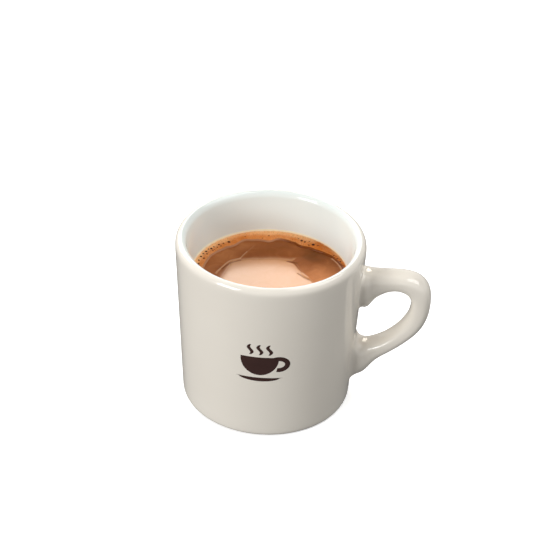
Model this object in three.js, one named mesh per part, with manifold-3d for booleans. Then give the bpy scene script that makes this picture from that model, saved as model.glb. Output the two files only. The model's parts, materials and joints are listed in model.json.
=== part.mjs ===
// A stout white stoneware mug of hot chocolate, standing on its flat foot.
// Millimetres, +Z up. The mug stands on Z = 0 with its handle towards +X, and the origin is the middle of
// the footprint, handle included. Until the last lines each piece is made about the mug's own axis.
// Three pieces: the fired mug with its handle, the drink inside it, and the ring of froth along the wall.
import * as THREE from 'three';
import { mergeVertices } from 'three/addons/utils/BufferGeometryUtils.js';
import Module from 'manifold-3d';

// Driving dimensions of the mug
const RIM_DIAMETER = 80;
const HEIGHT = 77.6;
const FOOT_DIAMETER = 72.4; // where the straight wall meets the rounded foot edge
const FOOT_ROUND = 2.6; // radius between the wall and the flat foot
const FOOT_RING = 27.5; // inner radius of the ring that it stands on
const FOOT_RECESS = 1.2; // how far the middle of the underside is lifted
const LIP_THICKNESS = 4.7;
const LIP_HEIGHT = 3.2; // height of the rounded part of the lip
const FLOOR_HEIGHT = 8;
const FLOOR_ROUND = 9; // radius between the floor inside and the wall
const FLOOR_RADIUS = 31; // inside radius just above the floor's round

// Driving dimensions of the drink
const DRINK_LEVEL = 58.5;
const DRINK_RADIUS = 33; // inside radius of the mug at the drink's level
const GAP = 0.3; // between two pieces that touch
const FILM_HEIGHT = 0.3; // of the thin skin on the drink
const FOLD_HEIGHT = 0.45; // of the folds in that skin
const FROTH_THICKNESS = 0.7;

// Inner edge of the froth ring: direction in degrees from the handle, and radius
const FROTH_EDGE = [
  [0, 30.6], [18, 31.0], [33, 29.6], [42, 28.3], [53, 26.8], [67, 25.4], [75, 26.5], [88, 27.2], [98, 24.9],
  [110, 26.4], [121, 27.4], [133, 26.1], [145, 26.8], [160, 28.0], [175, 28.0], [200, 28.9], [225, 27.8],
  [250, 29.1], [275, 28.0], [300, 29.4], [320, 28.3], [340, 29.8],
];
// Where bubbles gather in the froth: first and last direction in degrees, and how many
const BUBBLE_GROUPS = [[24, 42, 7], [58, 76, 8], [84, 118, 5], [128, 176, 16], [205, 340, 12]];
const BUBBLE_SIZE = 0.75; // radius and height of a middling bubble

// Driving dimensions of the handle
const SECTION_POWER = 2.35; // 2 is an ellipse, more is squarer
// Stations from the upper root round to the lower one. Each has the radius and height of the outer edge,
// the radius and height of the inner edge, and the width across, along Y
const HANDLE_STATIONS = [
  [36.2, 66.4, 36.2, 48.5, 14.4],
  [39.7, 66.1, 39.6, 48.7, 13.4],
  [42.2, 65.8, 42.6, 49.5, 11.6],
  [46.6, 65.8, 46.4, 54.3, 11.0],
  [51.4, 65.9, 50.8, 57.8, 10.9],
  [57.2, 66.1, 55.2, 58.3, 10.9],
  [62.6, 64.6, 58.4, 56.7, 10.9],
  [66.9, 60.3, 59.9, 54.2, 10.9],
  [68.4, 53.8, 60.2, 51.2, 10.9],
  [67.7, 46.2, 59.4, 46.4, 10.8],
  [65.0, 39.4, 57.3, 41.8, 10.8],
  [60.4, 33.2, 54.0, 37.2, 10.8],
  [54.2, 27.3, 49.0, 32.9, 10.9],
  [48.0, 22.3, 43.8, 30.8, 11.2],
  [42.8, 15.5, 40.2, 30.2, 11.8],
  [38.9, 12.9, 37.9, 30.6, 13.4],
  [35.2, 12.2, 35.2, 31.0, 14.4],
];

// Fineness
const BODY_SIDES = 64;
const DRINK_SIDES = 64;
const FROTH_SIDES = 160;
const HANDLE_STEPS = 48;
const HANDLE_SIDES = 18;

const CENTRE = new THREE.Vector2(0, 0);
const rimRadius = RIM_DIAMETER / 2;
const footRadius = FOOT_DIAMETER / 2;
const lipStart = HEIGHT - LIP_HEIGHT;

const glaze = new THREE.MeshStandardMaterial({ color: 0xe9e6de, roughness: 0.12, metalness: 0 });
const chocolate = new THREE.MeshStandardMaterial({ color: 0x8f5230, roughness: 0.2, metalness: 0 });
const foam = new THREE.MeshStandardMaterial({ color: 0xc27b3e, roughness: 0.4, metalness: 0 });

const wasm = await Module();
wasm.setup();

// A closed three.js geometry as a solid that can be cut and joined.
function solidFrom(geometry) {
  const bare = geometry.clone();
  bare.deleteAttribute('normal');
  bare.deleteAttribute('uv');
  const merged = mergeVertices(bare, 1e-4);
  return new wasm.Manifold(
    new wasm.Mesh({
      numProp: 3,
      vertProperties: merged.attributes.position.array,
      triVerts: new Uint32Array(merged.index.array),
    }),
  );
}

function geometryFrom(solid) {
  const { vertProperties, triVerts } = solid.getMesh();
  const geometry = new THREE.BufferGeometry();
  geometry.setAttribute('position', new THREE.BufferAttribute(vertProperties, 3));
  geometry.setIndex(new THREE.BufferAttribute(triVerts, 1));
  geometry.computeVertexNormals();
  return geometry;
}

// Turns an outline of radii and heights about the Z axis.
function turned(outline, sides) {
  return new THREE.LatheGeometry(outline, sides).rotateX(Math.PI / 2);
}

// Points on an arc in the plane of radius and height, angles in degrees, ends included.
function arc(centreRadius, centreHeight, across, up, from, to, steps) {
  return Array.from({ length: steps + 1 }, (_, i) => {
    const angle = THREE.MathUtils.degToRad(from + ((to - from) * i) / steps);
    return new THREE.Vector2(centreRadius + across * Math.cos(angle), centreHeight + up * Math.sin(angle));
  });
}

// Radius of the straight outer wall at a height.
function wallRadius(height) {
  const share = (height - FOOT_ROUND) / (lipStart - FOOT_ROUND);
  return THREE.MathUtils.lerp(footRadius, rimRadius, THREE.MathUtils.clamp(share, 0, 1));
}

// The outer form: foot ring, rounded edge, straight tapering wall and round lip, solid inside.
function outerForm() {
  const halfLip = LIP_THICKNESS / 2;
  return solidFrom(
    turned(
      [
        new THREE.Vector2(0, FOOT_RECESS),
        new THREE.Vector2(FOOT_RING - 2 * FOOT_RECESS, FOOT_RECESS),
        new THREE.Vector2(FOOT_RING, 0),
        ...arc(footRadius - FOOT_ROUND, FOOT_ROUND, FOOT_ROUND, FOOT_ROUND, -90, 0, 5),
        new THREE.Vector2(wallRadius(HEIGHT / 2), HEIGHT / 2),
        ...arc(rimRadius - halfLip, lipStart, halfLip, LIP_HEIGHT, 0, 90, 6),
        new THREE.Vector2(0, HEIGHT),
      ],
      BODY_SIDES,
    ),
  );
}

// The hollow: rounded floor, wall that opens upwards in two straight stretches, and the lip's inner half.
function hollow() {
  const halfLip = LIP_THICKNESS / 2;
  return solidFrom(
    turned(
      [
        new THREE.Vector2(0, FLOOR_HEIGHT),
        ...arc(FLOOR_RADIUS - FLOOR_ROUND, FLOOR_HEIGHT + FLOOR_ROUND, FLOOR_ROUND, FLOOR_ROUND, -90, 0, 6),
        new THREE.Vector2(DRINK_RADIUS, DRINK_LEVEL),
        ...arc(rimRadius - halfLip, lipStart, halfLip, LIP_HEIGHT, 180, 90, 6),
        new THREE.Vector2(rimRadius - halfLip, HEIGHT + 1),
        new THREE.Vector2(0, HEIGHT + 1),
      ],
      BODY_SIDES,
    ),
  );
}

// A smooth curve through a list of numbers, places or both, one for each station of the handle.
function throughStations(read) {
  return new THREE.CatmullRomCurve3(HANDLE_STATIONS.map(read));
}

// The ear-shaped handle: a soft-cornered oval section carried from station to station, thick at both roots.
function handle() {
  const outer = throughStations(([radius, height]) => new THREE.Vector3(radius, 0, height));
  const inner = throughStations(([, , radius, height]) => new THREE.Vector3(radius, 0, height));
  const width = throughStations((station, i) => new THREE.Vector3(i, station[4], 0));
  const centre = (share) => outer.getPoint(share).lerp(inner.getPoint(share), 0.5);
  const corners = [];
  for (let step = 0; step <= HANDLE_STEPS; step++) {
    const share = step / HANDLE_STEPS;
    const halfThick = outer.getPoint(share).sub(centre(share));
    const halfWide = new THREE.Vector3(0, width.getPoint(share).y / 2, 0);
    for (let side = 0; side < HANDLE_SIDES; side++) {
      const angle = (2 * Math.PI * side) / HANDLE_SIDES;
      const c = Math.cos(angle);
      const s = Math.sin(angle);
      const size = (Math.abs(c) ** SECTION_POWER + Math.abs(s) ** SECTION_POWER) ** (-1 / SECTION_POWER);
      corners.push(centre(share).addScaledVector(halfThick, size * c).addScaledVector(halfWide, size * s));
    }
  }
  const first = corners.push(centre(0)) - 1;
  const last = corners.push(centre(1)) - 1;
  const faces = [];
  const corner = (step, side) => step * HANDLE_SIDES + (side % HANDLE_SIDES);
  for (let side = 0; side < HANDLE_SIDES; side++) {
    faces.push(first, corner(0, side), corner(0, side + 1));
    faces.push(last, corner(HANDLE_STEPS, side + 1), corner(HANDLE_STEPS, side));
    for (let step = 0; step < HANDLE_STEPS; step++) {
      const [a, b] = [corner(step, side), corner(step, side + 1)];
      const [c, d] = [corner(step + 1, side), corner(step + 1, side + 1)];
      faces.push(a, c, b, b, c, d);
    }
  }
  const geometry = new THREE.BufferGeometry().setFromPoints(corners);
  geometry.setIndex(faces);
  return solidFrom(geometry);
}

// Shortest distance from a point to a chain of straight stretches.
function distanceToChain(x, y, chain) {
  const point = new THREE.Vector3(x, y, 0);
  const nearest = new THREE.Vector3();
  let least = Infinity;
  for (let i = 1; i < chain.length; i++) {
    new THREE.Line3(chain[i - 1], chain[i]).closestPointToPoint(point, true, nearest);
    least = Math.min(least, nearest.distanceTo(point));
  }
  return least;
}

// The two folds where the skin on the drink has wrinkled, as lines on the surface.
const folds = [
  [[-22.0, -2.8], [-20.4, 2.0], [-18.4, 5.8], [-15.4, 8.6], [-13.6, 11.0], [-11.5, 14.8], [-9.1, 19.2]],
  [[7.1, 11.0], [11.8, 6.8], [14.8, 3.1], [18.3, -1.6]],
].map((fold) => fold.map(([x, y]) => new THREE.Vector3(x, y, 0)));

// Height of the skin above the drink's level: a low swell in the middle and a rounded ridge along each fold.
function skinHeight(x, y) {
  const swell = Math.max(0, 1 - (x * x + y * y) / 24 ** 2);
  const nearest = Math.min(...folds.map((fold) => distanceToChain(x, y, fold)));
  return FILM_HEIGHT * swell + FOLD_HEIGHT * Math.exp(-((nearest / 1.3) ** 2));
}

// The drink fills the hollow to its level.
function drink() {
  const radius = DRINK_RADIUS - GAP;
  const skin = Array.from({ length: 17 }, (_, i) => new THREE.Vector2((radius * (17 - i)) / 17, DRINK_LEVEL));
  const geometry = turned(
    [
      new THREE.Vector2(0, FLOOR_HEIGHT + GAP),
      ...arc(
        FLOOR_RADIUS - FLOOR_ROUND, FLOOR_HEIGHT + FLOOR_ROUND,
        FLOOR_ROUND - GAP, FLOOR_ROUND - GAP, -90, 0, 6,
      ),
      ...skin,
      new THREE.Vector2(0, DRINK_LEVEL),
    ],
    DRINK_SIDES,
  );
  const place = geometry.attributes.position;
  for (let i = 0; i < place.count; i++) {
    if (place.getZ(i) > DRINK_LEVEL - GAP) {
      const onWall = Math.hypot(place.getX(i), place.getY(i)) > 24;
      place.setZ(i, DRINK_LEVEL + (onWall ? 0 : skinHeight(place.getX(i), place.getY(i))));
    }
  }
  return solidFrom(geometry);
}

// Radius of the froth's wandering inner edge in a direction, easing from one listed point to the next.
function frothEdge(degrees) {
  const turn = THREE.MathUtils.euclideanModulo(degrees, 360);
  const next = FROTH_EDGE.findIndex(([direction]) => direction > turn);
  const [toDirection, toRadius] = next < 0 ? [360, FROTH_EDGE[0][1]] : FROTH_EDGE[next];
  const [fromDirection, fromRadius] = next < 0 ? FROTH_EDGE.at(-1) : FROTH_EDGE[next - 1];
  const share = THREE.MathUtils.smoothstep(turn, fromDirection, toDirection);
  return THREE.MathUtils.lerp(fromRadius, toRadius, share);
}

// Where the larger bubbles are and how big, spread over the directions where they gather.
function placeBubbles() {
  const scatter = (i, k) => (Math.sin((i + 1) * k) + 1) / 2; // repeatable, and uneven enough for foam
  return BUBBLE_GROUPS.flatMap(([from, to, count], group) =>
    Array.from({ length: count }, (_, i) => {
      const degrees = THREE.MathUtils.lerp(from, to, (i + 0.5 * scatter(i, 12.9 + group)) / count);
      const radius = THREE.MathUtils.lerp(frothEdge(degrees) + 1, DRINK_RADIUS - 1, scatter(i, 37.7 + group));
      const size = BUBBLE_SIZE * (0.7 + 0.8 * scatter(i, 7.3 + group));
      const middle = new THREE.Vector2(radius, 0).rotateAround(CENTRE, THREE.MathUtils.degToRad(degrees));
      return { middle, size };
    }),
  );
}

// A thin ring of froth against the wall, rising towards it, with its larger bubbles standing up as domes.
function froth() {
  const profile = [
    [0, 0], [1, 0], [1, 1.3], [0.86, 1.1], [0.72, 0.95], [0.58, 0.9], [0.44, 0.9],
    [0.3, 0.85], [0.16, 0.75], [0.04, 0.45], [0, 0],
  ];
  const outline = profile.map(([across, rise]) => new THREE.Vector2(1 + across, rise * FROTH_THICKNESS));
  const ring = turned(outline, FROTH_SIDES);
  const place = ring.attributes.position;
  const bubbles = placeBubbles();
  for (let i = 0; i < place.count; i++) {
    const angle = Math.atan2(place.getY(i), place.getX(i));
    const edge = frothEdge(THREE.MathUtils.radToDeg(angle));
    const across = Math.hypot(place.getX(i), place.getY(i)) - 1;
    const radius = THREE.MathUtils.lerp(edge, DRINK_RADIUS - GAP, across);
    const spot = new THREE.Vector2(radius, 0).rotateAround(CENTRE, angle);
    const onTop = across > 0.1 && across < 0.95 && place.getZ(i) > 0;
    const domes = bubbles.map(
      ({ middle, size }) => size * Math.exp(-((spot.distanceTo(middle) / size) ** 2)),
    );
    const height = DRINK_LEVEL + GAP + place.getZ(i) + (onTop ? Math.max(...domes) : 0);
    place.setXYZ(i, spot.x, spot.y, height);
  }
  return solidFrom(ring);
}

function piece(name, solid, material) {
  const mesh = new THREE.Mesh(geometryFrom(solid), material);
  mesh.name = name;
  return mesh;
}

const mugOfHotChocolate = new THREE.Group();
mugOfHotChocolate.add(
  piece('mug', outerForm().add(handle()).subtract(hollow()), glaze),
  piece('hot_chocolate', drink(), chocolate),
  piece('froth', froth(), foam),
);

// The origin goes to the middle of the footprint.
const footprint = new THREE.Box3().setFromObject(mugOfHotChocolate).getCenter(new THREE.Vector3());
mugOfHotChocolate.position.x = -footprint.x;

export default mugOfHotChocolate;
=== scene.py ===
import json
import math
import random

import bmesh
import bpy
import numpy as np
from mathutils import Matrix, Vector, noise

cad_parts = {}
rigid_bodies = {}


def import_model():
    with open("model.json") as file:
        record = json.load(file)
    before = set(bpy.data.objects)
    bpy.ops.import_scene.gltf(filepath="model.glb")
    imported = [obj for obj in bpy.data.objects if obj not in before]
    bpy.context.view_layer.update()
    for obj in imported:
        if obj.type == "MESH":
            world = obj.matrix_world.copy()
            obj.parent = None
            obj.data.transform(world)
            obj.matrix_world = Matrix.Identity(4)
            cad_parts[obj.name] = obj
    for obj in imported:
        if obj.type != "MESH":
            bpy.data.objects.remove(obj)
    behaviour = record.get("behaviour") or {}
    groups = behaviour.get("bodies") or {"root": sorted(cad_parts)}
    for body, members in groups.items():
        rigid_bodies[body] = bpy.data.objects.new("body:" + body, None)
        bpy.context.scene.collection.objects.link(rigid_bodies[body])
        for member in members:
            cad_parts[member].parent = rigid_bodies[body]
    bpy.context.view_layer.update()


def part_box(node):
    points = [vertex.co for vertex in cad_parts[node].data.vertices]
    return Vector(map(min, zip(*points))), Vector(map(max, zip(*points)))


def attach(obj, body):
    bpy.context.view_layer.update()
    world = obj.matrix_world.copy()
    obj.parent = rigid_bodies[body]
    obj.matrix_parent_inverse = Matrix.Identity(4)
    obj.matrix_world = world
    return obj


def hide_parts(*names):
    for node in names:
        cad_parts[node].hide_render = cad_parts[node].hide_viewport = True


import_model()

# The mug
# One piece of vitrified china: cup and handle are cast, joined with slip while soft and fired as one.
# It is dipped in a clear, slightly warm white glaze, and the ring that it stands on is wiped bare.

MM = 0.001
SAME_PLACE = 0.005 * MM  # points of a mesh that are nearer than this are one
mug_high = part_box("mug")[1]
drink_low, drink_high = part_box("hot_chocolate")
AXIS_X = (drink_low.x + drink_high.x) / 2

# Radii and heights of the mug, in millimetres
RIM_RADIUS = mug_high.y / MM
RIM_HEIGHT = mug_high.z / MM
LIP_THICKNESS = 4.7
LIP_START = RIM_HEIGHT - 3.2
FOOT_RADIUS = 36.2
FOOT_ROUND = 2.6
FOOT_RING = 27.5
FOOT_RECESS = 1.2
FLOOR_HEIGHT = 8
FLOOR_RADIUS = 31
FLOOR_ROUND = 9
DRINK_LEVEL = 58.5
DRINK_RADIUS = 33
MUG_SIDES = 64

# The heights on the wall between which each end of the handle is rooted, and how many faces wide a root is
UPPER_ROOT = (48.4, 66.6)
LOWER_ROOT = (13.4, 30.8)
ROOT_FACES = 4
ROOT_ANGLE = math.pi * ROOT_FACES / MUG_SIDES  # from the middle of a root to its side

# Rings along the handle, from the upper root to the lower: radius and height of the outer edge,
# radius and height of the inner edge, and the width across
HANDLE_RINGS = [
    (39.2, 65.7, 39.1, 49.4, 14.0),
    (41.0, 65.7, 41.1, 48.9, 14.0),
    (42.1, 65.8, 42.8, 49.7, 12.2),
    (43.8, 65.8, 44.4, 52.9, 10.8),
    (47.2, 65.8, 46.9, 55.6, 10.8),
    (51.9, 65.8, 51.3, 58.3, 10.9),
    (57.1, 66.0, 55.3, 58.7, 10.9),
    (62.9, 65.2, 58.8, 56.8, 10.9),
    (67.5, 60.7, 60.1, 54.2, 10.9),
    (68.6, 54.0, 60.4, 51.7, 10.9),
    (68.0, 46.0, 59.7, 46.2, 10.8),
    (65.3, 39.3, 57.4, 41.8, 10.8),
    (60.7, 33.9, 54.4, 37.3, 10.8),
    (54.2, 27.8, 48.8, 32.2, 10.9),
    (47.5, 22.9, 44.2, 30.2, 10.8),
    (44.5, 18.2, 42.5, 29.8, 11.2),
    (42.2, 15.2, 40.9, 29.6, 12.9),
    (40.2, 14.4, 39.3, 29.8, 14.0),
]
HANDLE_SIDES = 16
SQUARENESS = 0.14  # how far the section's corners stand out of an oval, as a share of its size


def arc(radius, height, across, up, start, end, steps):
    """Points of a round corner in radius and height, angles in degrees, both ends included."""
    angles = [math.radians(start + (end - start) * i / steps) for i in range(steps + 1)]
    return [(radius + across * math.cos(a), height + up * math.sin(a)) for a in angles]


def wall_radius(height):
    """Radius of the outer wall, which tapers straight from the lip to the foot."""
    share = (height - FOOT_ROUND) / (LIP_START - FOOT_ROUND)
    return FOOT_RADIUS + (RIM_RADIUS - FOOT_RADIUS) * share


def inside_radius(height):
    """Radius of the wall inside, which flares a little more above the drink than below."""
    above = (height - DRINK_LEVEL) / (LIP_START - DRINK_LEVEL)
    below = (DRINK_LEVEL - height) / (DRINK_LEVEL - FLOOR_HEIGHT - FLOOR_ROUND)
    if above > 0:
        return DRINK_RADIUS + (RIM_RADIUS - LIP_THICKNESS - DRINK_RADIUS) * above
    return DRINK_RADIUS + (FLOOR_RADIUS - DRINK_RADIUS) * below


def draw_line(places):
    """Merges the selected plane into a point and draws straight edges with it from place to place."""
    bpy.ops.mesh.merge(type="CENTER")
    bpy.ops.transform.translate(value=places[0])
    for here, there in zip(places, places[1:]):
        bpy.ops.mesh.extrude_vertices_move(TRANSFORM_OT_translate={"value": there - here})


def turn(name, outline, sides):
    """A piece turned about the mug's axis from an outline in millimetres. It is left in edit mode."""
    bpy.ops.object.select_all(action="DESELECT")
    bpy.ops.mesh.primitive_plane_add(size=MM)
    piece = bpy.context.object
    piece.name = piece.data.name = name
    bpy.ops.object.mode_set(mode="EDIT")
    draw_line([Vector((AXIS_X + radius * MM, 0, height * MM)) for radius, height in outline])
    bpy.ops.mesh.select_all(action="SELECT")
    bpy.ops.mesh.spin(steps=sides, angle=2 * math.pi, center=(AXIS_X, 0, 0), axis=(0, 0, 1))
    bpy.ops.mesh.select_all(action="SELECT")
    bpy.ops.mesh.remove_doubles(threshold=SAME_PLACE)
    bpy.ops.mesh.normals_make_consistent(inside=False)
    return piece


def cup_outline():
    """The cup's section: up the outside from the middle of the foot, over the lip and down the inside."""
    def rows(low, high):
        return [low + (high - low) * i / ROOT_FACES for i in range(ROOT_FACES + 1)]

    half_lip = LIP_THICKNESS / 2
    outside = [7, *rows(*LOWER_ROOT), 37, 42.2, *rows(*UPPER_ROOT), 71]
    inside = [71, 67, 63, DRINK_LEVEL, 50, 41, 32, 24]
    return [
        (0, FOOT_RECESS), (12, FOOT_RECESS), (22, FOOT_RECESS), (25.2, FOOT_RECESS),
        (26.6, 0.8), (FOOT_RING, 0.2), (28.6, 0), (31, 0),
        *arc(FOOT_RADIUS - FOOT_ROUND, FOOT_ROUND, FOOT_ROUND, FOOT_ROUND, -90, 0, 4),
        *[(wall_radius(height), height) for height in outside],
        *arc(RIM_RADIUS - half_lip, LIP_START, half_lip, RIM_HEIGHT - LIP_START, 0, 180, 8),
        *[(inside_radius(height), height) for height in inside],
        *arc(FLOOR_RADIUS - FLOOR_ROUND, FLOOR_HEIGHT + FLOOR_ROUND, FLOOR_ROUND, FLOOR_ROUND, 0, -90, 5),
        (15, FLOOR_HEIGHT), (7, FLOOR_HEIGHT), (0, FLOOR_HEIGHT),
    ]


def under_root(place):
    """Whether a face of the cup lies where an end of the handle is rooted."""
    height = place.z / MM
    outside = math.hypot(place.x - AXIS_X, place.y) / MM > inside_radius(height) + 1
    towards_handle = abs(math.atan2(place.y, place.x - AXIS_X)) < ROOT_ANGLE
    return outside and towards_handle and any(low < height < high for low, high in (UPPER_ROOT, LOWER_ROOT))


def handle_ring(outer_radius, outer_height, inner_radius, inner_height, width):
    """Middle, tilt from upright, thickness and width of a ring of the handle, in metres and radians."""
    outer = Vector((AXIS_X + outer_radius * MM, 0, outer_height * MM))
    inner = Vector((AXIS_X + inner_radius * MM, 0, inner_height * MM))
    across = outer - inner
    return (outer + inner) / 2, math.atan2(across.x, across.z), across.length, width * MM


def tilt_selected(angle, middle):
    """Tilts the selected ring away from upright. Run without a window, the operator turns backwards."""
    bpy.ops.transform.rotate(value=-angle, orient_axis="Y", center_override=middle)


def grown(sides):
    """How much larger a ring is made, because subdividing draws it in."""
    return 6 / (4 + 2 * math.cos(2 * math.pi / sides))


def add_handle(mug):
    """Carries a ring from the upper root round to the lower one and bridges both ends to the wall."""
    rings = [handle_ring(*ring) for ring in HANDLE_RINGS]
    middle, tilt, thick, wide = rings[0]
    bpy.ops.mesh.select_all(action="DESELECT")
    bpy.ops.mesh.primitive_circle_add(
        vertices=HANDLE_SIDES, radius=grown(HANDLE_SIDES) / 2, location=middle, rotation=(0, math.pi / 2, 0)
    )
    mesh = bmesh.from_edit_mesh(mug.data)
    for vertex in mesh.verts:
        if vertex.select:
            spoke = vertex.co - middle
            corner = math.sin(2 * math.atan2(spoke.z, spoke.y)) ** 2
            vertex.co = middle + spoke * (1 + SQUARENESS * corner)
    bmesh.update_edit_mesh(mug.data)
    bpy.ops.transform.resize(value=(1, wide, thick), center_override=middle)
    tilt_selected(tilt, middle)
    for (old_middle, old_tilt, old_thick, old_wide), (middle, tilt, thick, wide) in zip(rings, rings[1:]):
        bpy.ops.mesh.extrude_region_move(TRANSFORM_OT_translate={"value": middle - old_middle})
        tilt_selected(-old_tilt, middle)
        bpy.ops.transform.resize(value=(1, wide / old_wide, thick / old_thick), center_override=middle)
        tilt_selected(tilt, middle)
    between_roots = (LOWER_ROOT[1] + UPPER_ROOT[0]) / 2 * MM
    for upper in (True, False):
        bpy.ops.mesh.select_all(action="DESELECT")
        mesh = bmesh.from_edit_mesh(mug.data)
        for edge in mesh.edges:
            is_upper = (edge.verts[0].co.z + edge.verts[1].co.z) / 2 > between_roots
            edge.select_set(edge.is_boundary and is_upper == upper)
        bmesh.update_edit_mesh(mug.data)
        bpy.ops.mesh.bridge_edge_loops()


def finish_mesh(piece, levels=0):
    """Leaves edit mode with all faces outwards, subdivides and shades the piece smooth."""
    bpy.ops.mesh.select_all(action="SELECT")
    bpy.ops.mesh.normals_make_consistent(inside=False)
    bpy.ops.object.mode_set(mode="OBJECT")
    if levels:
        bpy.ops.object.modifier_add(type="SUBSURF")
        piece.modifiers[-1].levels = piece.modifiers[-1].render_levels = levels
        bpy.ops.object.modifier_apply(modifier=piece.modifiers[-1].name)
    bpy.ops.object.shade_smooth()


def smooth_step(share):
    """A soft change from 0 to 1."""
    share = np.clip(share, 0, 1)
    return share * share * (3 - 2 * share)


def read_places(piece):
    """Places of a piece's vertices in millimetres, from the mug's axis and the table."""
    places = np.empty(3 * len(piece.data.vertices))
    piece.data.vertices.foreach_get("co", places)
    return (places.reshape(-1, 3) - (AXIS_X, 0, 0)) / MM


def add_attribute(piece, name, values):
    """Stores a number for each vertex, for the material to read."""
    piece.data.attributes.new(name, "FLOAT", "POINT").data.foreach_set("value", values)


def make_mug():
    """The cup with its handle, as one closed skin."""
    mug = turn("glazed_mug", cup_outline(), MUG_SIDES)
    bpy.ops.transform.resize(value=(grown(MUG_SIDES), grown(MUG_SIDES), 1), center_override=(AXIS_X, 0, 0))
    mesh = bmesh.from_edit_mesh(mug.data)
    bpy.ops.mesh.select_all(action="DESELECT")
    for face in mesh.faces:
        face.select_set(under_root(face.calc_center_median()))
    bmesh.update_edit_mesh(mug.data)
    bpy.ops.mesh.delete(type="FACE")
    add_handle(mug)
    finish_mesh(mug, levels=2)
    places = read_places(mug)
    # Where the inside wall is, so that the glaze can be painted cooler there against the drink's warm light
    inward = wall_radius(places[:, 2]) - LIP_THICKNESS / 2 - np.hypot(places[:, 0], places[:, 1])
    above_floor = places[:, 2] > FLOOR_HEIGHT / 2
    add_attribute(mug, "inside", smooth_step((inward + 1) / 2) * above_floor)
    return mug


def linear(hex_colour):
    """An sRGB colour such as #EEE8DD as linear red, green, blue and alpha."""
    shares = [int(hex_colour[i:i + 2], 16) / 255 for i in (1, 3, 5)]
    return (*[s / 12.92 if s <= 0.04045 else ((s + 0.055) / 1.055) ** 2.4 for s in shares], 1)


def add_node(material, kind, links=(), **settings):
    """Adds a node. Links go to its sockets by name or place, and settings to its properties."""
    node = material.node_tree.nodes.new("ShaderNode" + kind)
    for key, value in settings.items():
        setattr(node, key, value)
    for socket, value in dict(links).items():
        if isinstance(value, bpy.types.NodeSocket):
            material.node_tree.links.new(value, node.inputs[socket])
        else:
            node.inputs[socket].default_value = value
    return node


def mix(material, factor, first, second):
    """A colour between two, by a factor."""
    links = {"Factor": factor, "A": first, "B": second}
    return add_node(material, "Mix", links, data_type="RGBA").outputs["Result"]


def new_material(name):
    """A node material and its main shader."""
    material = bpy.data.materials.new(name)
    material.use_nodes = True
    return material, material.node_tree.nodes["Principled BSDF"]


def connect(material, shader, links):
    """Links outputs of nodes to the shader's sockets, by the sockets' names."""
    for socket, output in links.items():
        material.node_tree.links.new(output, shader.inputs[socket])


def glazed_china():
    """Vitrified china under a clear glaze: warm white and wet-looking, faintly wavy as dipped glaze is."""
    china, shader = new_material("glazed_vitrified_china")
    place = add_node(china, "TexCoord").outputs["Object"]
    height = add_node(china, "SeparateXYZ", {0: place}).outputs["Z"]
    blotches = add_node(china, "TexNoise", {"Vector": place, "Scale": 1 / (26 * MM), "Detail": 2.0})
    outside_coat = mix(china, blotches.outputs["Fac"], linear("#EFE9DE"), linear("#EAE3D7"))
    # Inside it is painted cooler, to take out the warm light that the drink throws on the wall
    inside = add_node(china, "Attribute", attribute_name="inside").outputs["Fac"]
    glaze_and_cooled_inside = mix(china, inside, outside_coat, linear("#E5EBE7"))
    # The glaze stops just above the foot ring in a slightly uneven line
    creep = add_node(china, "TexNoise", {"Vector": place, "Scale": 1 / (3 * MM), "Detail": 3.0})
    edge = add_node(china, "Math", {
        0: creep.outputs["Fac"], 1: 0.3 * MM, 2: height,
    }, operation="MULTIPLY_ADD")
    bare = add_node(china, "MapRange", {
        "Value": edge.outputs[0], "From Min": 0.34 * MM, "From Max": 0.42 * MM,
        "To Min": 1.0, "To Max": 0.0,
    }).outputs[0]
    grit = add_node(china, "TexNoise", {"Vector": place, "Scale": 1 / (0.5 * MM), "Detail": 4.0})
    clay = mix(china, grit.outputs["Fac"], linear("#D8CBB5"), linear("#C4B59C"))
    colour = mix(china, bare, glaze_and_cooled_inside, clay)
    roughness = add_node(china, "MapRange", {"Value": bare, "To Min": 0.03, "To Max": 0.8})
    wave = add_node(china, "TexNoise", {"Vector": place, "Scale": 1 / (9 * MM), "Detail": 1.0})
    bump = add_node(china, "Bump", {"Strength": 0.15, "Distance": 0.03 * MM, "Height": wave.outputs["Fac"]})
    connect(china, shader, {
        "Base Color": colour, "Roughness": roughness.outputs[0], "Normal": bump.outputs[0],
    })
    shader.inputs["IOR"].default_value = 1.52
    return china


mug = make_mug()
mug.data.materials.append(glazed_china())
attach(mug, "root")
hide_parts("mug")

# The printed mark
# A transfer printed in dark brown on the front of the cup and fired under the glaze, so it is as glossy
# as the china and hardly raised. It is a plain sign for a hot drink: a cup on a saucer with steam over it.

MARK_DIRECTION = math.radians(-86)  # where round the cup its middle is, counted from the handle
MARK_HEIGHT = 40.5
MARK_RAISED = 0.04
MARK_STRIPS = 22  # on each side of its middle
STRIP_WIDTH = 0.5
STEAM_MIDDLES = (-5.6, -1.6, 2.4)
STEAM_WAVE = 0.75
STEAM_STEPS = 16


def add_shape(points):
    """A flat shape between points in millimetres across and up, added to the mesh in edit mode."""
    bpy.ops.mesh.select_all(action="DESELECT")
    bpy.ops.mesh.primitive_plane_add(size=MM)
    draw_line([Vector((across * MM, 0, up * MM)) for across, up in [*points, points[0]]])
    bpy.ops.mesh.select_linked()
    bpy.ops.mesh.remove_doubles(threshold=SAME_PLACE, use_unselected=False)
    bpy.ops.mesh.edge_face_add()


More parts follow.
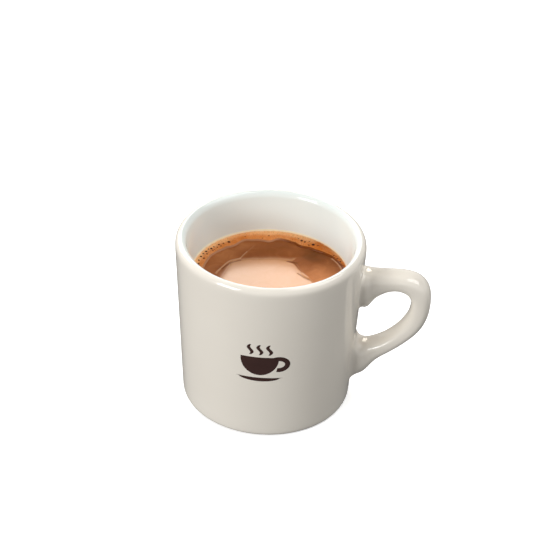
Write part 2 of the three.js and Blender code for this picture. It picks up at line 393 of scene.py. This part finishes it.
def make_mark():
    """The sign drawn flat, cut into narrow upright strips and then laid round the cup."""
    bpy.ops.object.select_all(action="DESELECT")
    bpy.ops.mesh.primitive_plane_add(size=MM)
    mark = bpy.context.object
    mark.name = mark.data.name = "printed_mark"
    bpy.ops.object.mode_set(mode="EDIT")
    bpy.ops.mesh.select_all(action="SELECT")
    bpy.ops.mesh.delete(type="VERT")
    # The bowl, its ear and the saucer
    add_shape([(-9.6, 3.0), *arc(-1.6, 2.2, 8.0, 8.6, 180, 360, 28), (6.4, 3.0)])
    add_shape([*arc(6.3, -0.6, 4.9, 4.0, 112, -100, 22), *arc(6.3, -0.6, 2.7, 1.9, -100, 112, 22)])
    add_shape([(-11.4, -7.8), (8.2, -7.8), *arc(-1.6, -7.8, 8.6, 1.9, -6, -174, 20)])
    # Three wisps of steam, each one wave high and pointed at both ends
    steps = [i / STEAM_STEPS for i in range(STEAM_STEPS + 1)]
    for middle in STEAM_MIDDLES:
        line = [(middle + STEAM_WAVE * math.sin(2 * math.pi * step), 4.3 + 5.2 * step) for step in steps]
        halves = [0.4 + 0.45 * math.sin(math.pi * step) for step in steps]
        left = [(across - half, up) for (across, up), half in zip(line, halves)]
        right = [(across + half, up) for (across, up), half in zip(line, halves)]
        add_shape([*left, *reversed(right)])
    for i in range(-MARK_STRIPS, MARK_STRIPS):
        bpy.ops.mesh.select_all(action="SELECT")
        bpy.ops.mesh.bisect(plane_co=(STRIP_WIDTH * i * MM, 0, 0), plane_no=(1, 0, 0))
    bpy.ops.mesh.select_all(action="SELECT")
    bpy.ops.mesh.quads_convert_to_tris()
    bpy.ops.mesh.extrude_region_move(TRANSFORM_OT_translate={"value": (0, -2 * MARK_RAISED * MM, 0)})
    bpy.ops.mesh.select_all(action="SELECT")
    bpy.ops.mesh.normals_make_consistent(inside=False)
    bpy.ops.object.mode_set(mode="OBJECT")
    for vertex in mark.data.vertices:
        height = MARK_HEIGHT + vertex.co.z / MM
        radius = wall_radius(height) - MARK_RAISED - vertex.co.y / MM
        angle = MARK_DIRECTION + vertex.co.x / MM / wall_radius(height)
        vertex.co = Vector((AXIS_X / MM + radius * math.cos(angle), radius * math.sin(angle), height)) * MM
    return mark


def brown_print():
    """Ceramic transfer print, very dark brown, a little uneven in depth as fired enamel is."""
    ink, shader = new_material("dark_brown_ceramic_print")
    place = add_node(ink, "TexCoord").outputs["Object"]
    depth = add_node(ink, "TexNoise", {"Vector": place, "Scale": 1 / (4 * MM), "Detail": 4.0})
    colour = mix(ink, depth.outputs["Fac"], linear("#38231F"), linear("#422B27"))
    connect(ink, shader, {"Base Color": colour})
    shader.inputs["Roughness"].default_value = 0.14
    shader.inputs["IOR"].default_value = 1.52
    return ink


mark = make_mark()
mark.data.materials.append(brown_print())
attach(mark, "root")

# The drink
# Hot chocolate made with milk, filled to well below the rim. A thin skin has set on it as it cooled,
# paler than the drink, and the skin has wrinkled in low folds where the cup was moved.
# The skin's paleness is partly a painted reflection of the window behind, and its folds carry painted
# highlights and shadows.

DRINK_SIDES = 192
SKIN_STEP = 0.5  # distance between the rings of the surface before it is subdivided
INTO_WALL = 0.12  # how far the drink reaches into the china, so that no gap shows
DIP = 0.45  # how much lower the flat skin lies than the drink by the wall
DIP_WIDTH = 7  # how far from the skin's edge the drink goes on rising

# Folds and creases of the skin, in millimetres from the mug's axis: corners, height, width,
# and how much painted highlight (or, below 0, painted shadow) each line carries over the skin around it
FOLD_LINES = [
    ([(-22.7, -2.0), (-22.1, 0.0), (-21.1, 2.1), (-19.7, 5.6), (-18.2, 8.4), (-16.2, 9.7), (-14.2, 11.0)],
     0.3, 0.36, 0.8),
    ([(-20.6, 2.0), (-19.2, 4.9), (-17.6, 7.3), (-15.8, 8.6), (-13.9, 9.8)], -0.1, 0.4, -0.7),
    ([(-14.2, 11.0), (-13.2, 13.4), (-12.0, 16.0)], 0.16, 0.3, 0.45),
    ([(-12.0, 16.0), (-10.6, 18.4), (-9.6, 20.9)], 0.06, 0.3, 0.12),
    ([(9.3, 12.0), (10.7, 9.5), (12.0, 6.9), (14.6, 3.5), (18.2, -1.1), (20.3, -5.5)], 0.14, 0.34, 0.1),
    ([(6.4, 12.3), (8.2, 12.0), (10.2, 11.2)], -0.1, 0.4, -0.65),
    ([(11.5, 3.9), (13.0, 2.6), (14.8, 1.0), (16.5, 0.0)], -0.12, 0.3, -0.7),
    ([(13.0, 4.4), (14.3, 2.9), (15.9, 1.5)], 0.2, 0.4, 1.0),
    ([(24.7, 16.7), (26.2, 15.3), (27.7, 13.2), (29.2, 10.6), (30.0, 7.0)], 0.22, 0.36, 0.9),
]
# Where the drink is milkier or darker than elsewhere: centre, reach and by how much. The light cloud at the
# front right is a painted reflection and the dark one at the back right is painted shade
MILK_AND_LIGHT_CLOUDS = [
    (23, -2, 19, 0.55), (17, 18, 10, -0.35), (-22, 12, 12, 0.3), (-27, 0, 10, 0.15), (-14, 21, 8, 0.15),
    (2, 21, 9, -0.1),
]
PLAIN_MILK = 0.35  # how milky it is elsewhere

# Outline of the pale skin, and how soft its edge is from each corner to the next, in millimetres. The
# skin's paleness is partly a painted reflection of the window behind, and its soft far edge follows that
# reflection
SKIN_AND_REFLECTION_OUTLINE = [
    (-22.3, -2.5, 5.0), (-21.2, 2.8, 3.6), (-19.7, 5.6, 1.6), (-18.5, 7.6, 1.0), (-16.5, 10.0, 1.4),
    (-14.8, 11.5, 3.2), (-8.1, 14.0, 4.4), (0.3, 15.8, 4.4), (6.8, 15.8, 3.0), (10.2, 16.4, 0.8),
    (9.3, 14.4, 0.4), (8.2, 12.6, 0.3), (5.6, 12.0, 0.3), (8.8, 11.0, 0.4), (10.0, 9.5, 0.4),
    (11.6, 6.9, 0.4), (14.6, 3.3, 0.4), (16.2, 1.6, 0.4), (18.5, -1.5, 0.5), (20.5, -6.0, 1.6),
    (18.0, -14.0, 3.0), (8.0, -21.0, 3.0), (-6.0, -22.5, 3.0), (-17.0, -17.0, 3.0), (-21.8, -9.0, 4.0),
]


def distance_to_line(spots, start, end):
    """Distances from many spots to a straight stretch."""
    start, along = np.array(start), np.subtract(end, start)
    share = np.clip((spots - start) @ along / (along @ along), 0, 1)
    return np.linalg.norm(spots - start - share[:, None] * along, axis=1)


def rounded(corners):
    """A line with its corners cut twice, so that it bends softly."""
    corners = np.array(corners)
    for _ in range(2):
        here, there = corners[:-1], corners[1:]
        cut = np.stack([0.75 * here + 0.25 * there, 0.25 * here + 0.75 * there], axis=1).reshape(-1, 2)
        corners = np.vstack([corners[:1], cut, corners[-1:]])
    return corners


def folds(spots):
    """Heights of the folds in the skin, with a faint trough beside each, and their painted highlights and
    shadows.
    """
    heights, paleness_and_light = np.zeros((2, len(spots)))
    for corners, rise, width, highlight_and_shade in FOLD_LINES:
        line = rounded(corners)
        near = np.min([distance_to_line(spots, a, b) for a, b in zip(line, line[1:])], axis=0) / width
        heights += rise * (np.exp(-near ** 2) - 0.3 * np.exp(-(near / 3) ** 2))
        paleness_and_light += highlight_and_shade * np.exp(-near ** 2)
    return heights, np.clip(paleness_and_light, -1, 1)


def milk_and_light_shares(spots):
    """How milky the drink is at spots outside the skin, from 0 to 1, with a painted reflection at the front
    right and painted shade at the back right.
    """
    milk_and_light_share = np.full(len(spots), PLAIN_MILK)
    for x, y, reach, more in MILK_AND_LIGHT_CLOUDS:
        milk_and_light_share += more * smooth_step(1 - np.hypot(spots[:, 0] - x, spots[:, 1] - y) / reach)
    return milk_and_light_share


def skin_and_reflection_shares(spots):
    """How far outside the pale skin spots are, and how much skin, with its painted reflection, they have: 1
    well inside its outline.
    """
    inside = np.zeros(len(spots), dtype=bool)
    share, away = np.ones(len(spots)), np.full(len(spots), np.inf)
    for (x1, y1, softness), (x2, y2, _) in zip(SKIN_AND_REFLECTION_OUTLINE, SKIN_AND_REFLECTION_OUTLINE[1:] + SKIN_AND_REFLECTION_OUTLINE[:1]):
        if y1 != y2:
            crossed = (y1 > spots[:, 1]) != (y2 > spots[:, 1])
            inside ^= crossed & (spots[:, 0] < x1 + (x2 - x1) * (spots[:, 1] - y1) / (y2 - y1))
        distance = distance_to_line(spots, (x1, y1), (x2, y2))
        share, away = np.minimum(share, distance / softness), np.minimum(away, distance)
    return np.where(inside, 0, away), np.where(inside, smooth_step(share), 0)


def write_places(piece, places):
    """Moves a piece's vertices to places in millimetres."""
    piece.data.vertices.foreach_set("co", (places * MM + (AXIS_X, 0, 0)).ravel())
    piece.data.update()


def make_drink():
    """The drink from the floor of the mug to its skin, with the skin's relief."""
    rings = round(DRINK_RADIUS / SKIN_STEP)
    top = [(DRINK_RADIUS * i / rings, DRINK_LEVEL) for i in range(rings + 1)]
    side = [(inside_radius(height) + INTO_WALL, height) for height in (DRINK_LEVEL - 0.2, 45, 30, 20)]
    bottom = arc(
        FLOOR_RADIUS - FLOOR_ROUND, FLOOR_HEIGHT + FLOOR_ROUND,
        FLOOR_ROUND + INTO_WALL, FLOOR_ROUND + INTO_WALL, 0, -90, 8,
    )
    drink = turn("hot_chocolate_drink", [*top, *side, *bottom, (0, FLOOR_HEIGHT - INTO_WALL)], DRINK_SIDES)
    bpy.ops.mesh.subdivide()
    finish_mesh(drink)
    places = read_places(drink)
    radii = np.hypot(places[:, 0], places[:, 1])
    on_top = (places[:, 2] > DRINK_LEVEL - 0.1) & (radii < DRINK_RADIUS - 0.1)
    spots = places[on_top, :2]
    away, share = skin_and_reflection_shares(spots)
    ripples = np.array([noise.noise(Vector((*spot, 0)) / 3) for spot in spots]) * smooth_step(away)
    dip = DIP * (np.sin(math.pi / 2 * np.minimum(1, away / DIP_WIDTH)) - 1)
    heights, paleness_and_light = folds(spots)
    places[on_top, 2] += dip + 0.05 * ripples + heights
    write_places(drink, places)
    for name, values in (("skin_and_reflection", share), ("milk_and_light_share", milk_and_light_shares(spots)), ("fold_light_shade", paleness_and_light)):
        everywhere = np.zeros(len(places))
        everywhere[on_top] = values
        add_attribute(drink, name, everywhere)
    return drink


def add_ramp(material, place, stops):
    """A colour read from a ramp between stops, each a place from 0 to 1 and a linear colour."""
    ramp = add_node(material, "ValToRGB", {"Fac": place})
    for stop_place, _ in stops[1:-1]:
        ramp.color_ramp.elements.new(stop_place)
    for element, (_, colour) in zip(ramp.color_ramp.elements, stops):
        element.color = colour
    return ramp.outputs["Color"]


def hot_chocolate():
    """Milk chocolate drink, wet and opaque: painted shade darkens it at the back right, and it is pale
    where the milk skin has set, partly as a painted reflection.
    """
    drink, shader = new_material("hot_chocolate_with_milk_skin")
    place = add_node(drink, "TexCoord").outputs["Object"]
    skin_and_reflection, milk_and_light_share, fold_light_shade = [
        add_node(drink, "Attribute", attribute_name=name).outputs["Fac"]
        for name in ("skin_and_reflection", "milk_and_light_share", "fold_light_shade")
    ]
    cloud = add_node(drink, "TexNoise", {
        "Vector": place, "Scale": 1 / (5 * MM), "Detail": 4.0, "Distortion": 1.0,
    })
    # The ramp's dark and light ends carry the painted shade and painted reflection of the clouds
    swirl = add_node(drink, "Math", {0: cloud.outputs["Fac"], 1: 0.4, 2: milk_and_light_share}, operation="MULTIPLY_ADD")
    milk_and_light = add_node(drink, "Math", {0: swirl.outputs[0], 1: 0.2}, operation="SUBTRACT")
    brown_and_light = add_ramp(drink, milk_and_light.outputs[0], [
        (0, linear("#703C12")), (PLAIN_MILK, linear("#8E4F24")), (1, linear("#D08550")),
    ])
    streak = add_node(drink, "TexNoise", {
        "Vector": place, "Scale": 1 / (5 * MM), "Detail": 5.0, "Distortion": 1.2,
    })
    # The skin's pale colour is partly a painted reflection of the window behind
    pale_and_lit = mix(drink, streak.outputs["Fac"], linear("#C07F49"), linear("#CC8F60"))
    # Painted highlights on the crests of the folds and on the bright line at the right, painted shadows in
    # the creases
    crest_highlight = add_node(drink, "MapRange", {"Value": fold_light_shade, "To Max": 0.9}).outputs[0]
    with_crest_highlight = mix(drink, crest_highlight, mix(drink, skin_and_reflection, brown_and_light, pale_and_lit), linear("#DCA880"))
    crease_shade = add_node(drink, "MapRange", {"Value": fold_light_shade, "From Min": 0.0, "From Max": -1.0}).outputs[0]
    colour = mix(drink, crease_shade, with_crest_highlight, linear("#5E3014"))
    # The skin and the crests of its folds are glossier than the drink
    wet = add_node(drink, "Math", {0: skin_and_reflection, 1: fold_light_shade}, operation="MAXIMUM").outputs[0]
    roughness = add_node(drink, "MapRange", {"Value": wet, "To Min": 0.42, "To Max": 0.17}).outputs[0]
    gloss = add_node(drink, "MapRange", {"Value": wet, "To Min": 0.12, "To Max": 0.5}).outputs[0]
    grain = add_node(drink, "TexNoise", {"Vector": place, "Scale": 1 / (0.7 * MM), "Detail": 3.0})
    bump = add_node(drink, "Bump", {"Strength": 0.2, "Distance": 0.03 * MM, "Height": grain.outputs["Fac"]})
    connect(drink, shader, {
        "Base Color": colour, "Roughness": roughness, "Specular IOR Level": gloss,
        "Normal": bump.outputs[0],
    })
    shader.inputs["IOR"].default_value = 1.46
    return drink


drink = make_drink()
drink.data.materials.append(hot_chocolate())
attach(drink, "root")
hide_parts("hot_chocolate")

# The froth
# A ring of milk froth left by whisking, drawn to the wall by its own wetting. It is a foam of bubbles too
# fine to see with a few larger ones. It climbs a little way up the china, painted pale there as its
# reflection in the glaze.

FROTH_SIDES = 320
FROTH_LOW = DRINK_LEVEL + 0.1
# Its wavy inner edge: direction in degrees, counted from the handle, and distance from the axis
FROTH_EDGE = [
    (0, 31.2), (18, 31.5), (33, 30.2), (42, 28.8), (53, 27.0), (67, 25.4), (75, 26.5), (88, 27.2),
    (98, 24.9), (110, 26.4), (121, 27.4), (133, 26.1), (145, 26.8), (160, 28.0), (175, 28.0), (200, 28.9),
    (225, 27.8), (250, 29.1), (275, 28.0), (300, 29.4), (320, 28.3), (340, 29.8), (360, 31.2),
]

# Section of the froth: share of the way from its inner edge to the wall, and height above FROTH_LOW.
# The first part, up to EDGE_SHARE, is the rounded inner edge and is EDGE_WIDTH wide all the way round.
EDGE_SHARE = 0.2
EDGE_WIDTH = 0.8
FROTH_RISE = 0.6  # height of its top, in which the bubbles sit
FROTH_SECTION = [
    (0.0, -0.25), (-0.01, 0.0), (0.005, 0.2), (0.03, 0.36), (0.06, 0.47), (0.1, 0.55), (0.15, 0.6),
    (0.2, 0.62), *[(0.25 + 0.05 * i, 0.63 + 0.005 * i) for i in range(12)],
    (0.84, 0.7), (0.88, 0.73), (0.92, 0.78), (0.95, 0.85), (0.97, 0.95), (0.98, 1.1), (0.985, 1.25),
    (0.99, 1.4), (1.04, 1.5), (1.04, 0.6), (1.04, -0.25), (0.6, -0.25),
]
LUMPS_FROM = 0.5  # height above which its surface is uneven
REFLECTION_FROM = 0.72  # heights between which the froth on the wall turns pale, a painted reflection of the froth in the glaze
REFLECTION_TO = 1.05
DRAWN = 10  # how many times as large the section is drawn before it is fitted

# How pale the foam is, most of all towards the wall: direction in degrees and share. This is partly the
# foam's own tone and partly painted light: paler on the lit left and back and along the outer edge's
# highlights, darker on the right
FROTH_PALE_AND_LIT = [
    (0, 0.15), (28, 0.2), (38, 0.4), (47, 0.1), (54, 0.0), (63, 0.5), (70, 0.7), (86, 0.75), (103, 0.6),
    (123, 0.4), (140, 0.65), (160, 0.85), (180, 0.8), (220, 0.6), (270, 0.4), (320, 0.45), (360, 0.15),
]
# How milky its wet inner edge is, likewise. Where it is not, on the right, the edge is painted dark brown
# as shade
EDGE_MILK_AND_SHADE = [(0, 0.0), (76, 0.0), (96, 0.9), (185, 1.0), (230, 0.6), (300, 0.5), (360, 0.0)]

# The larger bubbles, which stand in a row near the wall: direction, distance from the axis and radius
BUBBLES = [
    (134.2, 29.4, 0.81), (139.2, 30.0, 0.55), (143.3, 30.5, 0.59), (148.5, 30.9, 0.49), (151.7, 30.9, 0.69),
    (153.6, 31.6, 0.53), (157.4, 31.5, 0.71), (161.3, 31.6, 0.65), (165.6, 31.6, 0.69), (167.1, 29.9, 0.59),
    (171.0, 31.5, 0.55), (153.0, 29.6, 0.45), (143.5, 29.1, 0.43), (147.0, 29.6, 0.39), (160.0, 30.2, 0.49),
    (176.0, 30.9, 0.65), (181.0, 31.4, 0.55), (69.2, 29.4, 0.69), (66.0, 29.3, 0.59), (58.0, 29.7, 0.85),
    (60.6, 28.2, 0.43), (63.0, 30.6, 0.43), (54.5, 30.6, 0.45), (73.0, 30.2, 0.39), (30.9, 31.4, 0.45),
    (26.1, 31.8, 0.49), (36.0, 31.3, 0.39), (98.0, 29.2, 0.43), (104.0, 27.4, 0.33), (118.0, 30.2, 0.39),
]
# Where smaller ones gather: first and last direction in degrees, and how many
BUBBLE_GROUPS = [(20, 50, 14), (52, 78, 26), (80, 128, 16), (130, 182, 44), (185, 355, 70)]
SMALL_BUBBLES = (0.1, 0.24)  # from which radius to which
BUBBLE_SUNK = 0.45  # how deep a bubble's middle lies in the froth, as a share of its radius
BUBBLE_SEED = 7


def around(table, angle):
    """A value read from a table of directions in degrees and values, softly joined."""
    angle %= 360
    for (start, start_value), (end, end_value) in zip(table, table[1:]):
        if start <= angle <= end:
            return start_value + (end_value - start_value) * smooth_step((angle - start) / (end - start))


def froth_lumps(place):
    """Unevenness of the foam's surface, in millimetres."""
    return 0.1 * noise.noise(place / 2.0) + 0.09 * noise.noise(place / 0.75 + Vector((5, 0, 0)))


def froth_radius(share, turned, wall):
    """Distance from the axis at a share of the way from the froth's wavy edge to the wall."""
    ripple = noise.noise(Vector((11 * math.cos(turned), 11 * math.sin(turned), 0)))
    edge = around(FROTH_EDGE, math.degrees(turned)) + 0.3 * ripple
    if share < EDGE_SHARE:
        return edge + EDGE_WIDTH * share / EDGE_SHARE
    return edge + EDGE_WIDTH + (wall - edge - EDGE_WIDTH) * (share - EDGE_SHARE) / (1 - EDGE_SHARE)


def make_froth():
    """The ring of froth with its rounded inner edge and the thin line that climbs the wall."""
    # Turned as a plain ring with its section drawn large, which is then fitted between edge and wall
    outline = [(DRAWN * (1 + share), DRAWN * height) for share, height in FROTH_SECTION]
    froth = turn("milk_froth", [*outline, outline[0]], FROTH_SIDES)
    bpy.ops.mesh.subdivide()
    finish_mesh(froth)
    places = read_places(froth)
    inward, wall_reflection, pale_and_lit, milk_and_shade = np.zeros((4, len(places)))
    for i, (across, along, rise) in enumerate(places / DRAWN):
        share = math.hypot(across, along) - 1
        turned = math.atan2(along, across)
        radius = froth_radius(share, turned, inside_radius(FROTH_LOW + rise))
        place = Vector((radius * math.cos(turned), radius * math.sin(turned), 0))
        if rise > LUMPS_FROM:
            calm = 1 - 0.5 * smooth_step((share - 0.9) / 0.1)
            rise += smooth_step((share - 0.1) / 0.15) * calm * froth_lumps(place)
        places[i] = place.x, place.y, FROTH_LOW + rise
        # Painted shade at the inner edge, a painted reflection on the wall, and paleness that is partly
        # painted light
        inward[i] = 1 - smooth_step((share - 0.12) / 0.12)
        wall_reflection[i] = smooth_step((rise - REFLECTION_FROM) / (REFLECTION_TO - REFLECTION_FROM))
        outward = smooth_step((share - 0.45) / 0.4)
        pale_and_lit[i] = around(FROTH_PALE_AND_LIT, math.degrees(turned)) * (0.35 + 1.25 * outward)
        milk_and_shade[i] = around(EDGE_MILK_AND_SHADE, math.degrees(turned))
    write_places(froth, places)
    for name, values in (("inward", inward), ("wall_reflection", wall_reflection), ("pale_and_lit", pale_and_lit), ("milk_and_shade", milk_and_shade)):
        add_attribute(froth, name, values)
    return froth


def add_bubbles(froth):
    """Larger bubbles, each a small dome half sunk in the froth, joined to it with a darker finish."""
    chance = random.Random(BUBBLE_SEED)
    bubbles = list(BUBBLES)
    for start, end, count in BUBBLE_GROUPS:
        for i in range(count):
            angle = start + (end - start) * (i + chance.random()) / count
            near = around(FROTH_EDGE, angle) + 0.9
            far = DRINK_RADIUS - 0.7
            radius = near + (far - near) * chance.random() ** 0.6
            bubbles.append((angle, radius, chance.uniform(*SMALL_BUBBLES)))
    domes = []
    for angle, radius, size in bubbles:
        spot = Vector((math.cos(math.radians(angle)), math.sin(math.radians(angle)), 0)) * radius
        height = FROTH_LOW + FROTH_RISE + froth_lumps(spot) - BUBBLE_SUNK * size
        bpy.ops.object.select_all(action="DESELECT")
        bpy.ops.mesh.primitive_ico_sphere_add(
            subdivisions=2, radius=size * MM, location=(AXIS_X + spot.x * MM, spot.y * MM, height * MM)
        )
        bpy.ops.object.transform_apply(location=True, rotation=True, scale=True)
        bpy.ops.object.shade_smooth()
        domes.append(bpy.context.object)
    film = bubble_film()
    for dome in domes:
        dome.data.materials.append(film)
        dome.select_set(True)
    froth.select_set(True)
    bpy.context.view_layer.objects.active = froth
    bpy.ops.object.join()


def milk_foam():
    """Wet milk froth stained with cocoa: caramel brown, partly painted light, with painted shade at its
    inner edge on the right and a painted cream reflection on the wall.
    """
    foam, shader = new_material("cocoa_milk_froth")
    place = add_node(foam, "TexCoord").outputs["Object"]
    inward, wall_reflection, pale_and_lit, milk_and_shade = [
        add_node(foam, "Attribute", attribute_name=name).outputs["Fac"]
        for name in ("inward", "wall_reflection", "pale_and_lit", "milk_and_shade")
    ]
    cloud = add_node(foam, "TexNoise", {"Vector": place, "Scale": 1 / (2.5 * MM), "Detail": 4.0})
    # The foam's paleness is partly its own tone and partly painted light
    clouded = add_node(foam, "Math", {0: cloud.outputs["Fac"], 1: 0.6, 2: pale_and_lit}, operation="MULTIPLY_ADD")
    paleness_and_light = add_node(foam, "Math", {0: clouded.outputs[0], 1: 0.3}, operation="SUBTRACT", use_clamp=True)
    caramel_and_light = mix(foam, paleness_and_light.outputs[0], linear("#CC6B12"), linear("#F2B276"))
    cells = add_node(foam, "TexVoronoi", {"Vector": place, "Scale": 1 / (0.6 * MM)})
    pores = add_node(foam, "MapRange", {
        "Value": cells.outputs["Distance"], "From Max": 0.45, "To Min": 0.75, "To Max": 0.0,
    })
    speckled = mix(foam, pores.outputs[0], caramel_and_light, linear("#A0541A"))
    # The dark brown of the inner edge on the right is painted shade
    edge = mix(foam, milk_and_shade, linear("#7A3D10"), linear("#B47C58"))
    # The cream on the wall is a painted reflection of the froth in the glaze
    colour = mix(foam, wall_reflection, mix(foam, inward, speckled, edge), linear("#F0E2C2"))
    roughness = add_node(foam, "MapRange", {"Value": inward, "To Min": 0.4, "To Max": 0.25})
    bump = add_node(foam, "Bump", {
        "Strength": 0.5, "Distance": 0.12 * MM, "Height": cells.outputs["Distance"],
    })
    connect(foam, shader, {
        "Base Color": colour, "Roughness": roughness.outputs[0], "Normal": bump.outputs[0],
    })
    shader.inputs["IOR"].default_value = 1.35
    shader.inputs["Specular IOR Level"].default_value = 0.3
    return foam


def bubble_film():
    """The clear wet wall of a larger bubble, through which the dark drink shows."""
    film, shader = new_material("wet_bubble_film")
    place = add_node(film, "TexCoord").outputs["Object"]
    mottle = add_node(film, "TexNoise", {"Vector": place, "Scale": 1 / (1.5 * MM), "Detail": 1.0})
    colour = mix(film, mottle.outputs["Fac"], linear("#33160A"), linear("#5E3014"))
    connect(film, shader, {"Base Color": colour})
    shader.inputs["Roughness"].default_value = 0.1
    shader.inputs["IOR"].default_value = 1.25
    return film


froth = make_froth()
froth.data.materials.append(milk_foam())
add_bubbles(froth)
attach(froth, "root")
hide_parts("froth")

# The floor
# A sheet of thin white paper on a light table, large enough to fill the view. The light from below takes
# away nearly all of the mug's shadow.

bpy.ops.mesh.primitive_plane_add(size=6, location=(0, 0, 0))
floor = bpy.context.object
floor.name = "paper_floor"
paper, paper_shader = new_material("white_paper")
paper_shader.inputs["Base Color"].default_value = linear("#F8F8F7")
paper_shader.inputs["Roughness"].default_value = 0.9
paper_shader.inputs["Emission Color"].default_value = linear("#FFFFFF")
paper_shader.inputs["Emission Strength"].default_value = 0.5
floor.data.materials.append(paper)
# What the paper would throw back at the mug is left to the room's light from below
floor.visible_diffuse = floor.visible_glossy = False

# The studio
# A camera at the photograph's place, soft lights on its left and behind the mug on the left, a broad light
# over the handle and a small bright window behind, which the drink mirrors.

CAMERA_TURN = math.radians(6)  # the camera stands this far round towards the handle
CAMERA_DISTANCE = 800 * MM
CAMERA_ELEVATION = math.radians(35.37)
CAMERA_PITCH = math.radians(34.05)
CAMERA_ROLL = math.radians(2.11)
CAMERA_LENS = 124.65
mug_middle = Vector((AXIS_X, 0, RIM_HEIGHT * MM / 2))


def direction(azimuth, elevation):
    """A direction from the mug, its azimuth counted from the camera's side and positive to the right."""
    turned = CAMERA_TURN + azimuth
    flat = math.cos(elevation)
    return Vector((flat * math.sin(turned), -flat * math.cos(turned), math.sin(elevation)))


bpy.ops.object.camera_add(location=mug_middle + CAMERA_DISTANCE * direction(0, CAMERA_ELEVATION))
camera = bpy.context.object
aim = Matrix.Rotation(CAMERA_TURN, 4, "Z") @ Matrix.Rotation(math.pi / 2 - CAMERA_PITCH, 4, "X")
camera.rotation_euler = (aim @ Matrix.Rotation(CAMERA_ROLL, 4, "Z")).to_euler()
camera.data.lens = CAMERA_LENS
camera.data.sensor_width = 36
bpy.context.scene.camera = camera


def add_light(name, azimuth, elevation, distance, size, brightness, colour="#FFFFFF"):
    """A soft light aimed at the mug. Brightness is that of its face against white paper in full light."""
    towards = direction(math.radians(azimuth), math.radians(elevation))
    bpy.ops.object.light_add(type="AREA", location=mug_middle + distance * towards)
    light = bpy.context.object
    light.name = name
    light.rotation_euler = towards.to_track_quat("Z", "Y").to_euler()
    light.data.shape = "RECTANGLE"
    light.data.size, light.data.size_y = size
    light.data.energy = brightness * math.pi * size[0] * size[1]
    light.data.color = linear(colour)[:3]


add_light("key_light", azimuth=-47, elevation=22, distance=1.5, size=(0.64, 0.64), brightness=12.2)
add_light("left_back_light", azimuth=-139, elevation=30, distance=1.5, size=(0.6, 0.6), brightness=9)
add_light("right_top_light", azimuth=90, elevation=60, distance=1.5, size=(1.0, 1.0), brightness=4.5)
add_light(
    "window_behind", azimuth=-178, elevation=35.3, distance=1.3, size=(0.26, 0.45), brightness=7.8,
    colour="#FFF4E6",
)

# The pale walls of the room: brightest a little above the horizon, dark overhead and underneath.
# Each row is how far upwards a direction points, from -1 to 1, and the brightness there.
ROOM_WALLS = [(-1.0, 0.12), (-0.1, 0.16), (0.12, 0.96), (0.65, 0.0), (1.0, 0.0)]

world = bpy.data.worlds.new("studio_room")
world.use_nodes = True
looking = add_node(world, "TexCoord").outputs["Generated"]
upward = add_node(world, "SeparateXYZ", {0: looking}).outputs["Z"]
share = add_node(world, "MapRange", {"Value": upward, "From Min": -1.0}).outputs[0]
walls = add_ramp(world, share, [((up + 1) / 2, (light, light, light, 1)) for up, light in ROOM_WALLS])
world.node_tree.links.new(walls, world.node_tree.nodes["Background"].inputs["Color"])
bpy.context.scene.world = world
bpy.context.scene.view_settings.view_transform = "Standard"
